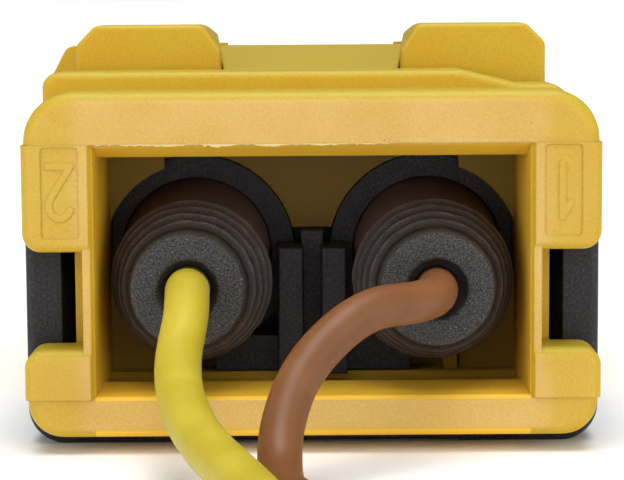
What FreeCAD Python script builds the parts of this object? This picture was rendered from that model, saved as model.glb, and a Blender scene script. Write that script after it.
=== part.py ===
"""Two-way sealed cable connector, plug half: yellow shell, black terminal housing, black U-shaped
secondary lock, two wire seals, two crimped contacts and two short leads with stripped ends.

Millimetres. X across the connector, +Y towards the mating face, +Z up.
The origin is under the middle of the connector, on the plane it stands on.
"""

import math
import os

import FreeCAD
import Part

V = FreeCAD.Vector

# ---- driving dimensions: the whole connector --------------------------------------------------
LENGTH = 34.0  # rear of the side posts to front rim
POST_PROUD = 0.08  # side posts stand this much behind the flange face
RUN = 0.10  # clearance of a piece that slides or turns
FIT = 0.05  # clearance of a piece that is pushed in and stays
LAP = 0.3  # how far a tower, web or foot runs into the block that it is moulded with
REAR = -LENGTH / 2 + POST_PROUD
FRONT = LENGTH / 2

# ---- contacts, bores and leads ----------------------------------------------------------------
PITCH = 10.6  # between the two cable bores
AXIS_Z = 7.65  # height of both bores
LEAD_D = {"1": 1.75, "2": 1.9}  # over the insulation: brown lead, yellow lead
CORE_D = 1.15  # stranded copper
BORE_R = 3.45  # cable bore of the terminal housing
COLLAR_R = 4.5  # round tower about the bore
COLLAR_DEPTH = 8.5  # tower mouth below the flange face
SIDES = {"1": 1, "2": -1}  # contact number to the sign of its X

# ---- shell: rear flange -----------------------------------------------------------------------
FLANGE_W = 24.2
FLANGE_Z0 = 0.72
FLANGE_H = 14.66
FLANGE_T = 2.2
FLANGE_CORNER = 2.1  # its upper corners
FLANGE_FOOT = 1.5  # its lower corners
FLANGE_EDGE = 0.5  # rounding of its rear edge
MOUTH_W = 18.4
MOUTH_Z0 = 2.48
MOUTH_H = 10.69
MOUTH_BEVEL = 0.2
MOUTH_LEAD = 0.62  # how far the ceiling comes down behind the mouth
MOUTH_LEAD_DEPTH = 1.8
SILL = 3.9  # depth of the floor's front strip
TROUGH_END = 6.9  # where the sunk part of the floor ends
TROUGH_DEEP = 0.45
LEDGE_DEEP = 0.1  # the ledge beyond it, which the housing's foot stands on
POST_W = 24.4  # over the side posts
POST_Z0 = 2.36
POST_EDGE = 0.4  # rounding of their outer edges
WINDOW_Z0 = 4.5
WINDOW_H = 4.16
WINDOW_WEB = 0.47  # wall left beside the mouth
WINDOW_WEB_DEPTH = 2.6
WINDOW_CORNER = 0.8
PANEL_W = 1.56
PANEL_H = 3.85
PANEL_Z0 = 9.25
PANEL_X = 10.56  # its middle
PANEL_DEEP = 0.06
FIGURE_H = 2.25
FIGURE_W = 1.0
FIGURE_STROKE = 0.3
GUSSET_X = 6.69  # inner edge of the four corner plates before the towers
GUSSET_T = 0.8
GUSSET_R = 4.15
STIFFENER_X = 6.3
STIFFENER_W = 0.6

# ---- shell: waist, ridge and push lugs --------------------------------------------------------
WALL = 1.05
WAIST_TOP = 15.0
WAIST_CORNER = 1.0
RIDGE_LEFT = 11.45
RIDGE_RIGHT = 11.6
RIDGE_TOP = 16.16
RIDGE_FALL_X = (6.4, 8.9)  # its top falls between these towards contact 1
RIDGE_FALL = 0.62
RIDGE_END = (1.2, 0.9)  # corner taken off its low end: across, down
RIDGE_T = 2.6
RIDGE_Z0 = 13.4
RIDGE_ROUND = 0.7  # rounding of its corners, over twice that of the edges that run round them
RIDGE_EDGE = 0.3
LUG_OUT = 10.3  # outer flank of each push lug
LUG_TOP = 18.1
LUG_CHAMFER = 0.85
LUG_FACE = 5.0  # rear face of the lugs, below the flange face
LUG_TOP_T = 2.6
LUG_SLANT_IN = 0.75  # its inner flank leans outwards by this much
LUG_SLANT_Z = 16.95  # above this height
LUG_ROUND = 0.5  # rounding of its corners, over twice that of the edges that run round them
LUG_EDGE = 0.2
PAD_SPACE_Z = 14.05  # floor of the space that the latch pad is pressed into
BULKHEAD_T = 1.1

# ---- shell: front skirt -----------------------------------------------------------------------
SKIRT_W = 25.8
SKIRT_H = 17.0
SKIRT_DRAFT = 0.42  # its top is this much lower at the front rim
SKIRT_WALL = 1.25
SKIRT_START = 16.0  # below the flange face
SKIRT_SHOULDER = 1.5
SKIRT_CORNER = 1.7
KEY_SMALL = (1.0, 1.9)  # top corner cut on the contact 2 side: across, down
KEY_LARGE = (3.2, 3.7)  # and on the contact 1 side
KEY_ROUND = 0.6  # rounding of both cuts
KEY_RIB = (0.75, 1.2)  # guide ribs inside the skirt: how far in, how high

# ---- terminal housing and its front -----------------------------------------------------------
BLOCK_W = 18.0
BLOCK_H = 8.5
BLOCK_DEPTH = 26.52  # its front below the flange face
SEAT_DEPTH = 19.42  # where the mating seal's seat begins, below the flange face
SEAT_STEP = 0.8
WEB_IN = 0.4  # inner face of the two web plates
WEB_GAP = 0.2  # between a web plate and the largest rib of a wire seal
WEB_TOP = 8.15
WEB_RIB_RISE = 0.6  # the rib between the plates stands higher
WEB_DEPTH = 5.7
FOOT_W = 8.8
FOOT_H = 1.6
FOOT_DEPTH = 7.0
RETAINER_T = 2.3
RETAINER_RIM = 1.75
BLADE_W = 3.2
BLADE_H = 1.2
PEG_DEPTH = 2.1  # the retainer's peg goes in as far as this, beyond the start of the seal's seat

# ---- latch arm --------------------------------------------------------------------------------
LATCH_W = 7.7
LATCH_FLARE = 0.65  # each side of the pad runs outwards by this much up to the pivot
LATCH_T = 0.9
LATCH_Z = 16.2  # pivot height, and the middle of the arm
LATCH_PIVOT_DEPTH = 14.92  # pivot, end of the pad and nose, below the flange face
LATCH_REAR_DEPTH = 5.8
LATCH_NOSE_DEPTH = 27.42
PAD_REAR_Z = 16.1  # top of the pad at its end; it rises to the skirt's height at the pivot
PAD_ROUND = 0.3
PIVOT_R = 0.45
PIVOT_LEN = 0.75
TOOTH_DROP = 2.1
TOOTH_LEN = 2.4

# ---- secondary lock ---------------------------------------------------------------------------
LOCK_W = 24.8
LOCK_T = 1.3  # its plate under the waist
LOCK_ARM = 1.57
LOCK_TOP = 11.5
LOCK_CORNER = 1.6
LOCK_TRAVEL = 2.0
FINGER_LEN = 2.2
FINGER_Z = (6.2, 9.0)
FINGER_REACH = 0.65  # how far it enters the terminal housing's side
RAIL_H = 0.9
LOCK_RELIEF = (-4.5, 6.4, 0.12)  # sunk strip of its underside: from, to, how deep

# ---- seals ------------------------------------------------------------------------------------
SEAL_FACE = 0.6  # outer end of a wire seal, below the flange face
SEAL_FACE_R = 2.42
SEAL_SAG = 0.72  # the lead's pull lowers the free end of its seal
SEAL_RIBS = ((1.3, 2.88), (2.05, 3.12), (2.8, 3.34), (3.6, 3.55))  # distance from its face, radius
SEAL_GROOVE = 0.22
SEAL_LEN = 10.2
SEAL_NECK_R = 1.95
SEAL_NECK_LEN = 2.8
SEAL_COUNTERSINK = (1.35, 0.45)  # radius, depth
MATING_SEAL_RIB = 0.85

# ---- contacts ---------------------------------------------------------------------------------
SHEET = 0.3
BOX_W = 3.5
BOX_H = 2.9
BOX_START_DEPTH = 17.92  # both ends of the blade box, below the flange face
BOX_END_DEPTH = 26.42
CAVITY_ROUND = 2.35  # half width of the wide rear part of a contact cavity
CAVITY_STEP_DEPTH = 15.42

# ---- derived places ---------------------------------------------------------------------------
MOUTH_X = MOUTH_W / 2
LEDGE_Z = MOUTH_Z0 - LEDGE_DEEP
FOOT_Z0 = LEDGE_Z + FIT
WAIST_X = MOUTH_X + WALL
WAIST_Z0 = LOCK_T + RUN
MOUTH_END = REAR + COLLAR_DEPTH
HOUSING_REAR = MOUTH_END + BULKHEAD_T + RUN
BLOCK_Z0 = AXIS_Z - BLOCK_H / 2
BLOCK_Z1 = AXIS_Z + BLOCK_H / 2
SKIRT_Y = REAR + SKIRT_START
FLANGE_FRONT = REAR + FLANGE_T
LOCK_REAR = FLANGE_FRONT + 2 * RUN
LOCK_FRONT = SKIRT_Y - LOCK_TRAVEL - 3 * RUN
BLOCK_FRONT = REAR + BLOCK_DEPTH
SEAT_START = REAR + SEAT_DEPTH
PEG_START = SEAT_START + PEG_DEPTH
CAVITY_STEP_Y = REAR + CAVITY_STEP_DEPTH
BOX_START = REAR + BOX_START_DEPTH
BOX_END = REAR + BOX_END_DEPTH
LATCH_PIVOT_Y = REAR + LATCH_PIVOT_DEPTH
LATCH_REAR = REAR + LATCH_REAR_DEPTH
LATCH_NOSE = REAR + LATCH_NOSE_DEPTH
LUG_IN = LATCH_W / 2 + RUN  # inner flank of each push lug, at its rear face
FLARE_END = LATCH_PIVOT_Y + PIVOT_R
WEB_OUT = PITCH / 2 - SEAL_RIBS[-1][1] - WEB_GAP
SEAL_Y = REAR + SEAL_FACE
SEAL_END = SEAL_Y + SEAL_LEN
STRIP_Y = SEAL_END + SEAL_NECK_LEN + 0.2  # where the insulation ends inside

# ---- leads: where they leave the seals, cross, and lie coiled ---------------------------------
EXIT_Y = SEAL_Y
EXIT_Z = AXIS_Z - SEAL_SAG
SEAL_BEND_Y = SEAL_Y + SEAL_RIBS[-1][0] + 0.6  # the sag begins behind the last rib
COIL_X = 1.0
COIL_Y = -53.0
COIL_R = 11.5  # outermost turn
COIL_PITCH = 1.95
COIL_TURNS = 1.6
COIL_START_DEG = 48.0  # where both leads reach the outermost turn
STRIPPED = 5.0
LAYER_Z = {"1": LEAD_D["1"] / 2, "2": LEAD_D["1"] + LEAD_D["2"] / 2}
LEADS = {
    "1": [
        (PITCH / 2, EXIT_Y, EXIT_Z),
        (4.65, -18.4, 6.7),
        (2.06, -20.5, 6.75),
        (-0.35, -22.6, 4.85),
        (-1.3, -24.2, 2.65),
        (-1.3, -26.1, LAYER_Z["1"]),
        (-0.9, -28.8, LAYER_Z["1"]),
        (0.8, -32.4, LAYER_Z["1"]),
        (3.2, -36.5, LAYER_Z["1"]),
        (5.9, -40.6, LAYER_Z["1"]),
    ],
    "2": [
        (-PITCH / 2, EXIT_Y, EXIT_Z),
        (-5.25, -18.3, 6.2),
        (-5.5, -20.9, 4.65),
        (-5.2, -23.6, 3.5),
        (-4.2, -26.9, 2.5),
        (-2.5, -30.6, 1.85),
        (-0.9, -35.0, 1.3),
        (2.0, -38.6, 2.3),
        (5.3, -41.7, LAYER_Z["2"]),
    ],
}


def box(x0, x1, y0, y1, z0, z1):
    return Part.makeBox(x1 - x0, y1 - y0, z1 - z0, V(x0, y0, z0))


def both_sides(shape):
    """The shape and its mirror image across the middle plane."""
    return [shape, shape.mirror(V(0, 0, 0), V(1, 0, 0))]


def fuse(*shapes):
    return shapes[0].multiFuse(list(shapes[1:])).removeSplitter()


def cut(shape, *tools):
    for tool in tools:
        shape = shape.cut(tool)
    return shape.removeSplitter()


def rod(radius, y0, y1, x, z):
    """A round bar along Y."""
    return Part.makeCylinder(radius, y1 - y0, V(x, y0, z), V(0, 1, 0))


def pin_x(radius, x0, x1, y, z):
    """A round bar along X."""
    return Part.makeCylinder(radius, x1 - x0, V(x0, y, z), V(1, 0, 0))


def outline_prism(points, y0, y1):
    """A prism along Y from (x, z) corners."""
    ring = [V(x, y0, z) for x, z in points]
    return Part.Face(Part.makePolygon(ring + ring[:1])).extrude(V(0, y1 - y0, 0))


def plan_prism(points, z0, z1):
    """A prism along Z from the (x, y) corners of its right half, mirrored."""
    ring = [V(x, y, z0) for x, y in points] + [V(-x, y, z0) for x, y in reversed(points)]
    return Part.Face(Part.makePolygon(ring + ring[:1])).extrude(V(0, 0, z1 - z0))


def side_prism(points, x0, x1):
    """A prism along X from (y, z) corners."""
    ring = [V(x0, y, z) for y, z in points]
    return Part.Face(Part.makePolygon(ring + ring[:1])).extrude(V(x1 - x0, 0, 0))


def edges_along(shape, axis, test):
    """Straight edges along an axis (0, 1 or 2) whose middle passes the test."""
    found = []
    for edge in shape.Edges:
        if len(edge.Vertexes) != 2 or not isinstance(edge.Curve, (Part.Line, Part.LineSegment)):
            continue
        run = edge.Vertexes[1].Point - edge.Vertexes[0].Point
        if abs(run[axis]) > 0.999 * run.Length and test(edge.CenterOfMass):
            found.append(edge)
    return found


def rounded(x0, x1, y0, y1, z0, z1, radius):
    """A box whose four edges along Y are round."""
    body = box(x0, x1, y0, y1, z0, z1)
    return body.makeFillet(radius, edges_along(body, 1, lambda p: True))


def ease(shape, radius, test):
    """Rounds the edges whose middle passes the test."""
    edges = [e for e in shape.Edges if test(e.CenterOfMass, e)]
    return shape.makeFillet(radius, edges)


def save(name, shape):
    solids = shape.Solids
    if not shape.isValid() or not solids:
        raise RuntimeError(f"{name} is not a valid solid")
    body = solids[0] if len(solids) == 1 else Part.makeCompound(solids)
    body.exportStep(os.path.join("parts", name + ".step"))
    print(f"{name:22s} solids {len(solids)}  volume {sum(s.Volume for s in solids):9.2f} mm3")


# ---- the yellow shell -------------------------------------------------------------------------
def figure_strokes(number):
    """Centre points of a contact number's strokes, in a box one wide and one high, upright."""
    if number == "1":
        return [(0.2, 0.72), (0.55, 1.0), (0.55, 0.0)]
    bow = [math.radians(160 - 30 * k) for k in range(8)]
    top = [(0.5 + 0.46 * math.cos(a), 0.73 + 0.25 * math.sin(a)) for a in bow]
    return top + [(0.04, 0.0), (0.98, 0.0)]


def figure(number, x, z, y0, y1):
    """A raised contact number, turned upside down, with its middle at x, z."""
    points = [
        (x - (u - 0.5) * FIGURE_W, z - (v - 0.5) * FIGURE_H) for u, v in figure_strokes(number)
    ]
    pieces = []
    for (xa, za), (xb, zb) in zip(points, points[1:]):
        along = V(xb - xa, 0, zb - za)
        across = V(-along.z, 0, along.x).normalize() * (FIGURE_STROKE / 2)
        ring = [V(xa, y0, za) + across, V(xb, y0, zb) + across]
        ring += [V(xb, y0, zb) - across, V(xa, y0, za) - across]
        pieces.append(Part.Face(Part.makePolygon(ring + ring[:1])).extrude(V(0, y1 - y0, 0)))
    pieces += [rod(FIGURE_STROKE / 2, y0, y1, px, pz) for px, pz in points]
    return fuse(*pieces)


def post(z0, z1, corner_z):
    """One block of the side posts on the contact 1 side, round at its corner by the window."""
    half = POST_W / 2
    block = box(MOUTH_X, half, REAR - POST_PROUD, FLANGE_FRONT, z0, z1)
    block = block.makeFillet(
        WINDOW_CORNER,
        edges_along(block, 1, lambda p: p.x > half - 0.01 and abs(p.z - corner_z) < 0.01),
    )
    return ease(
        block, POST_EDGE,
        lambda p, e: p.x > half - 0.01 and p.y < REAR - POST_PROUD + 0.01,
    )


def flange():
    """The rear frame: a rounded plate with a block above and below each side window."""
    half = FLANGE_W / 2
    top = FLANGE_Z0 + FLANGE_H
    plate = box(-half, half, REAR, FLANGE_FRONT, FLANGE_Z0, top)
    plate = plate.makeFillet(FLANGE_CORNER, edges_along(plate, 1, lambda p: p.z > top - 0.01))
    plate = plate.makeFillet(
        FLANGE_FOOT, edges_along(plate, 1, lambda p: p.z < FLANGE_Z0 + 0.01)
    )
    plate = ease(plate, FLANGE_EDGE, lambda p, e: abs(p.y - REAR) < 0.01)
    mouth_top = MOUTH_Z0 + MOUTH_H
    window_top = WINDOW_Z0 + WINDOW_H
    plate = cut(
        plate,
        *both_sides(
            box(
                MOUTH_X + WINDOW_WEB, half + 1, REAR - 1, FLANGE_FRONT + 1,
                POST_Z0, mouth_top,
            )
        ),
    )
    blocks = both_sides(post(window_top, mouth_top, window_top))
    blocks += both_sides(post(POST_Z0, WINDOW_Z0, WINDOW_Z0))
    return fuse(plate, *blocks)


def flange_cuts():
    """Space behind the side windows, and the sunk panels for the contact numbers."""
    window = box(
        MOUTH_X + WINDOW_WEB, POST_W / 2 + 1, REAR - 1, REAR + WINDOW_WEB_DEPTH,
        WINDOW_Z0, WINDOW_Z0 + WINDOW_H,
    )
    panel = rounded(
        PANEL_X - PANEL_W / 2, PANEL_X + PANEL_W / 2, REAR - 1, REAR - POST_PROUD + PANEL_DEEP,
        PANEL_Z0, PANEL_Z0 + PANEL_H, 0.2,
    )
    return both_sides(window) + both_sides(panel)


def push_lug():
    """The lug on the contact 1 side: a flat push face and a long slope to the skirt."""
    face = REAR + LUG_FACE
    lug = outline_prism(
        [
            (LUG_IN, WAIST_TOP - 0.5), (LUG_IN, LUG_SLANT_Z), (LUG_IN + LUG_SLANT_IN, LUG_TOP),
            (LUG_OUT - LUG_CHAMFER, LUG_TOP), (LUG_OUT, LUG_TOP - LUG_CHAMFER),
            (LUG_OUT, WAIST_TOP - 0.5),
        ],
        face,
        SKIRT_Y + 0.4,
    )
    lug = lug.makeFillet(LUG_ROUND, edges_along(lug, 1, lambda p: p.z > LUG_SLANT_Z + 0.1))
    lug = ease(lug, LUG_EDGE, lambda p, e: p.y < face + 0.01 and p.z > WAIST_TOP)
    slope = side_prism(
        [
            (face + LUG_TOP_T, LUG_TOP), (SKIRT_Y + 0.5, SKIRT_H + 0.05),
            (SKIRT_Y + 0.5, LUG_TOP + 2), (face + LUG_TOP_T, LUG_TOP + 2),
        ],
        0,
        LUG_OUT + 1,
    )
    return cut(lug, slope)


def ridge():
    """The rounded cross rib just in front of the flange, lower towards the contact 1 side."""
    low = RIDGE_TOP - RIDGE_FALL
    outline = [
        (-RIDGE_LEFT, RIDGE_Z0), (RIDGE_RIGHT, RIDGE_Z0), (RIDGE_RIGHT, low - RIDGE_END[1]),
        (RIDGE_RIGHT - RIDGE_END[0], low), (RIDGE_FALL_X[1], low), (RIDGE_FALL_X[0], RIDGE_TOP),
        (-RIDGE_LEFT, RIDGE_TOP),
    ]
    rear = FLANGE_FRONT - 0.3
    bar = outline_prism(outline, rear, FLANGE_FRONT + RIDGE_T)
    bar = bar.makeFillet(RIDGE_ROUND, edges_along(bar, 1, lambda p: p.z > RIDGE_Z0 + 0.01))
    front = FLANGE_FRONT + RIDGE_T
    return ease(
        bar, RIDGE_EDGE,
        lambda p, e: p.z > RIDGE_Z0 + 1 and min(abs(p.y - rear), abs(p.y - front)) < 0.01,
    )


def skirt_outline(inset, drop=0.0):
    """Corners of the skirt, set in all round and lower on top, with its two unlike top corners."""
    half = SKIRT_W / 2 - inset
    low = inset
    high = SKIRT_H - inset - drop
    return [
        (-half, low), (half, low),
        (half, high - KEY_LARGE[1]), (half - KEY_LARGE[0], high),
        (-half + KEY_SMALL[0], high), (-half, high - KEY_SMALL[1]),
    ]


def skirt():
    """The front skirt about the mating face, with its shoulder towards the waist."""
    outer = outline_prism(skirt_outline(0), SKIRT_Y, FRONT)
    outer = outer.makeFillet(SKIRT_CORNER, edges_along(outer, 1, lambda p: p.z < 0.01))
    outer = outer.makeFillet(KEY_ROUND, edges_along(outer, 1, lambda p: p.z > SKIRT_H / 2))
    slope = [
        (SKIRT_Y, SKIRT_H), (FRONT, SKIRT_H - SKIRT_DRAFT),
        (FRONT + 1, SKIRT_H + 1), (SKIRT_Y, SKIRT_H + 1),
    ]
    outer = cut(outer, side_prism(slope, -SKIRT_W, SKIRT_W))
    inner = outline_prism(
        skirt_outline(SKIRT_WALL, SKIRT_DRAFT), SKIRT_Y + SKIRT_SHOULDER, FRONT + 1
    )
    inner = inner.makeFillet(
        SKIRT_CORNER - SKIRT_WALL + 0.3, edges_along(inner, 1, lambda p: p.z < SKIRT_WALL + 0.01)
    )
    body = cut(outer, inner)
    return ease(body, 0.3, lambda p, e: abs(p.y - FRONT) < 0.01)


def skirt_ribs():
    """Guide ribs along the inside of the skirt's side walls, at unlike heights."""
    wall = SKIRT_W / 2 - SKIRT_WALL
    y0 = SKIRT_Y + SKIRT_SHOULDER - 0.2
    right = box(wall - KEY_RIB[0], wall + 0.2, y0, FRONT - 1.2, 6.0, 6.0 + KEY_RIB[1])
    left = box(-wall - 0.2, -wall + KEY_RIB[0], y0, FRONT - 1.2, 9.4, 9.4 + KEY_RIB[1])
    return [right, left]


def mouth():
    """The space inside the flange where the seals stand: sloping ceiling, sunk floor, bevelled rim."""
    top = MOUTH_Z0 + MOUTH_H
    trough = MOUTH_Z0 - TROUGH_DEEP
    profile = [
        (REAR - 1, MOUTH_Z0), (REAR + SILL, MOUTH_Z0), (REAR + SILL + 0.15, trough),
        (REAR + TROUGH_END, trough), (REAR + TROUGH_END, LEDGE_Z),
        (MOUTH_END, LEDGE_Z), (MOUTH_END, top - MOUTH_LEAD),
        (REAR + MOUTH_LEAD_DEPTH, top - MOUTH_LEAD), (REAR, top), (REAR - 1, top),
    ]
    rim = []
    for y, out in ((REAR - POST_PROUD - 0.01, MOUTH_BEVEL), (REAR + MOUTH_BEVEL, 0.0)):
        half = MOUTH_X + out
        corners = [(-half, MOUTH_Z0 - out), (half, MOUTH_Z0 - out), (half, top), (-half, top)]
        rim.append(Part.makePolygon([V(x, y, z) for x, z in corners + corners[:1]]))
    return [side_prism(profile, -MOUTH_X, MOUTH_X), Part.makeLoft(rim, True, True)]


def mouth_gussets():
    """Plates in the mouth's four corners, cut round before the towers, and a rib under each."""
    top = MOUTH_Z0 + MOUTH_H
    y0 = MOUTH_END - GUSSET_T
    plate = box(GUSSET_X, MOUTH_X + 0.2, y0, MOUTH_END + 0.2, MOUTH_Z0 - 0.3, top)
    plate = plate.cut(rod(GUSSET_R, y0 - 1, MOUTH_END + 1, PITCH / 2, AXIS_Z))
    stiffener = box(
        STIFFENER_X - STIFFENER_W / 2, STIFFENER_X + STIFFENER_W / 2, y0 - 0.3, MOUTH_END + 0.2,
        MOUTH_Z0 - 0.3, AXIS_Z - COLLAR_R - FIT,
    )
    return both_sides(plate) + both_sides(stiffener)


def tower(grow, y0, y1):
    """The round tower on the contact 1 side, cut flat beside the mouth's wall."""
    side = MOUTH_X - FIT + grow
    return rod(COLLAR_R + grow, y0, y1, PITCH / 2, AXIS_Z).common(
        box(-side, side, y0 - 1, y1 + 1, 0, LUG_TOP)
    )


def housing_space():
    """What the terminal housing needs inside the shell: block, towers, web and foot."""
    block = box(
        -BLOCK_W / 2 - RUN, BLOCK_W / 2 + RUN, MOUTH_END + BULKHEAD_T, FRONT,
        BLOCK_Z0 - RUN, BLOCK_Z1 + RUN,
    )
    towers = both_sides(tower(FIT, MOUTH_END, HOUSING_REAR + LAP + FIT))
    foot = box(
        -FOOT_W / 2 - FIT, FOOT_W / 2 + FIT, REAR + WEB_DEPTH, HOUSING_REAR + LAP + FIT,
        FOOT_Z0 - FIT, WEB_TOP + WEB_RIB_RISE + FIT,
    )
    return [block, *towers, foot]


def waist_details():
    """Rails for the lock, its finger slots, snap windows and the cored space under the top."""
    rail = box(
        WAIST_X - 0.2, WAIST_X + 0.5, FLANGE_FRONT - 0.2, SKIRT_Y + 0.2,
        LOCK_TOP - 0.6 - RUN - RAIL_H, LOCK_TOP - 0.6 - RUN,
    )
    slot = box(
        MOUTH_X - 1, WAIST_X + 1, LOCK_FRONT - FINGER_LEN - RUN, SKIRT_Y - RUN,
        FINGER_Z[0] - RUN, FINGER_Z[1] + RUN,
    )
    snap = box(5.4, 7.6, MOUTH_END + 3.0, MOUTH_END + 4.6, BLOCK_Z1 - 0.1, BLOCK_Z1 + 0.75)
    core = box(
        -MOUTH_X + 1, MOUTH_X - 1, MOUTH_END + 5.4, SKIRT_Y + SKIRT_SHOULDER + 0.5,
        BLOCK_Z1 + 1.0, WAIST_TOP - WALL,
    )
    return both_sides(rail), both_sides(slot) + both_sides(snap) + [core]


def outer_shell():
    """The moulded yellow shell, in one piece."""
    waist = rounded(
        -WAIST_X, WAIST_X, REAR + 0.6, SKIRT_Y + 0.4, WAIST_Z0, WAIST_TOP, WAIST_CORNER
    )
    rails, openings = waist_details()
    body = fuse(flange(), waist, ridge(), *both_sides(push_lug()), skirt(), *skirt_ribs(), *rails)
    body = fuse(cut(body, *mouth()), *mouth_gussets())
    pad_space = plan_prism(
        [
            (LUG_IN, FLANGE_FRONT + RIDGE_T), (LUG_IN, LATCH_REAR),
            (LUG_IN + LATCH_FLARE, FLARE_END), (LUG_IN + LATCH_FLARE, SKIRT_Y),
        ],
        PAD_SPACE_Z,
        LUG_TOP + 1,
    )
    latch_slot = box(
        -LATCH_W / 2 - 2 * RUN, LATCH_W / 2 + 2 * RUN, SKIRT_Y - 0.5, LATCH_NOSE + 1.2,
        WAIST_TOP, SKIRT_H + 1,
    )
    inner_slot = box(
        -LATCH_W / 2 - 2 * RUN, LATCH_W / 2 + 2 * RUN, SKIRT_Y + SKIRT_SHOULDER, LATCH_NOSE + 1.2,
        BLOCK_Z1 + 1, SKIRT_H + 1,
    )
    pivot_bores = both_sides(
        pin_x(
            PIVOT_R + FIT, LUG_IN, LUG_IN + LATCH_FLARE + PIVOT_LEN, LATCH_PIVOT_Y, LATCH_Z,
        )
    )
    body = cut(
        body, *housing_space(), *flange_cuts(), *openings,
        pad_space, latch_slot, inner_slot, *pivot_bores,
    )
    panel_floor = REAR - POST_PROUD + PANEL_DEEP
    numbers = [
        figure(
            number, sign * PANEL_X, PANEL_Z0 + PANEL_H / 2, REAR - POST_PROUD + 0.02,
            panel_floor + 0.1,
        )
        for number, sign in SIDES.items()
    ]
    return fuse(body, *numbers)


# ---- latch arm --------------------------------------------------------------------------------
def latch_arm():
    """The press-to-release arm: smooth rising pad behind, hook in front, trunnions at the lugs."""
    half = LATCH_W / 2
    wide = half + LATCH_FLARE
    low = LATCH_Z - LATCH_T / 2
    high = LATCH_Z + LATCH_T / 2
    arm = side_prism(
        [
            (LATCH_REAR, low), (LATCH_REAR, PAD_REAR_Z), (LATCH_PIVOT_Y - PIVOT_R, SKIRT_H),
            (LATCH_PIVOT_Y + PIVOT_R, SKIRT_H), (LATCH_PIVOT_Y + 3 * PIVOT_R, high),
            (LATCH_NOSE, high), (LATCH_NOSE, low),
        ],
        -wide,
        wide,
    )
    plan = [
        (half, LATCH_REAR), (wide, FLARE_END), (half, FLARE_END + PIVOT_R), (half, LATCH_NOSE),
    ]
    arm = arm.common(plan_prism(plan, low - 1, SKIRT_H + 1))
    arm = ease(arm, PAD_ROUND, lambda p, e: p.y < LATCH_REAR + 0.01 and p.z > PAD_REAR_Z - 0.01)
    window = box(-half + 1.6, half - 1.6, SKIRT_Y + 2.2, LATCH_NOSE - TOOTH_LEN - 0.8, low - 1, high + 1)
    tooth = side_prism(
        [
            (LATCH_NOSE - TOOTH_LEN, low + 0.1), (LATCH_NOSE - TOOTH_LEN, low - TOOTH_DROP + 0.4),
            (LATCH_NOSE - TOOTH_LEN + 0.5, low - TOOTH_DROP + 0.4), (LATCH_NOSE, low + 0.1),
        ],
        -half + 1.2,
        half - 1.2,
    )
    trunnions = both_sides(pin_x(PIVOT_R, half - 0.3, wide + PIVOT_LEN, LATCH_PIVOT_Y, LATCH_Z))
    return fuse(cut(arm, window), tooth, *trunnions)


# ---- secondary lock ---------------------------------------------------------------------------
def secondary_lock():
    """The black U that slides along the waist and backs up the contact lances."""
    half = LOCK_W / 2
    u = box(-half, half, LOCK_REAR, LOCK_FRONT, 0, LOCK_TOP)
    u = u.makeFillet(LOCK_CORNER, edges_along(u, 1, lambda p: p.z < 0.01))
    u = u.makeFillet(0.45, edges_along(u, 1, lambda p: p.z > LOCK_TOP - 0.01))
    hollow = box(
        -half + LOCK_ARM, half - LOCK_ARM, LOCK_REAR - 1, LOCK_FRONT + 1, LOCK_T, LOCK_TOP + 1
    )
    hollow = hollow.makeFillet(0.5, edges_along(hollow, 1, lambda p: p.z < LOCK_T + 0.01))
    u = cut(u, hollow)
    u = ease(
        u, 0.4,
        lambda p, e: p.y < LOCK_REAR + 0.01 and abs(p.x) > half - 0.01 and 2 < p.z < LOCK_TOP,
    )
    lips = both_sides(
        box(WAIST_X + RUN, half - LOCK_ARM + 0.2, LOCK_REAR + 1, LOCK_FRONT, LOCK_TOP - 0.6, LOCK_TOP)
    )
    reach = BLOCK_W / 2 - FINGER_REACH
    fingers = both_sides(
        box(reach, half - LOCK_ARM + 0.2, LOCK_FRONT - FINGER_LEN, LOCK_FRONT, *FINGER_Z)
    )
    grips = [
        pin_x(0.3, -4.0, 6.0, LOCK_REAR + 2.4 + 1.3 * k, 0.0) for k in range(4)
    ]
    x0, x1, deep = LOCK_RELIEF
    relief = box(x0, x1, LOCK_REAR - 1, LOCK_FRONT + 1, -1, deep)
    return cut(fuse(u, *lips, *fingers), *grips, relief)


# ---- terminal housing -------------------------------------------------------------------------
def cavity(x):
    """The stepped hole for one contact and its seal."""
    bore = rod(BORE_R, MOUTH_END - 1, SEAL_END + FIT, x, AXIS_Z)
    wide = box(
        x - CAVITY_ROUND, x + CAVITY_ROUND, SEAL_END, CAVITY_STEP_Y,
        AXIS_Z - CAVITY_ROUND, AXIS_Z + CAVITY_ROUND,
    )
    narrow_x = BOX_W / 2 + SHEET
    narrow_z = BOX_H / 2 + SHEET
    narrow = box(
        x - narrow_x, x + narrow_x, CAVITY_STEP_Y - 0.1, BLOCK_FRONT + 1,
        AXIS_Z - narrow_z, AXIS_Z + narrow_z,
    )
    return [bore, wide, narrow]


def lance_pocket():
    """The side pocket that the lock's finger enters, and the window about the lance."""
    side = BLOCK_W / 2
    pocket = box(
        side - FINGER_REACH - RUN, side + 1, LOCK_FRONT - FINGER_LEN - RUN, SEAT_START - 0.4,
        FINGER_Z[0] - RUN, FINGER_Z[1] + RUN,
    )
    window = box(
        PITCH / 2 + BOX_W / 2, side, CAVITY_STEP_Y + 0.3, SEAT_START - 0.5,
        AXIS_Z - 1.1, AXIS_Z + 1.1,
    )
    tongue = box(
        PITCH / 2 + BOX_W / 2 + 0.6, side - FINGER_REACH - RUN - 0.15, CAVITY_STEP_Y + 0.6,
        SEAT_START - 0.4,
        AXIS_Z - 0.8, AXIS_Z + 0.8,
    )
    return both_sides(pocket) + both_sides(window), both_sides(tongue)


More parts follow.
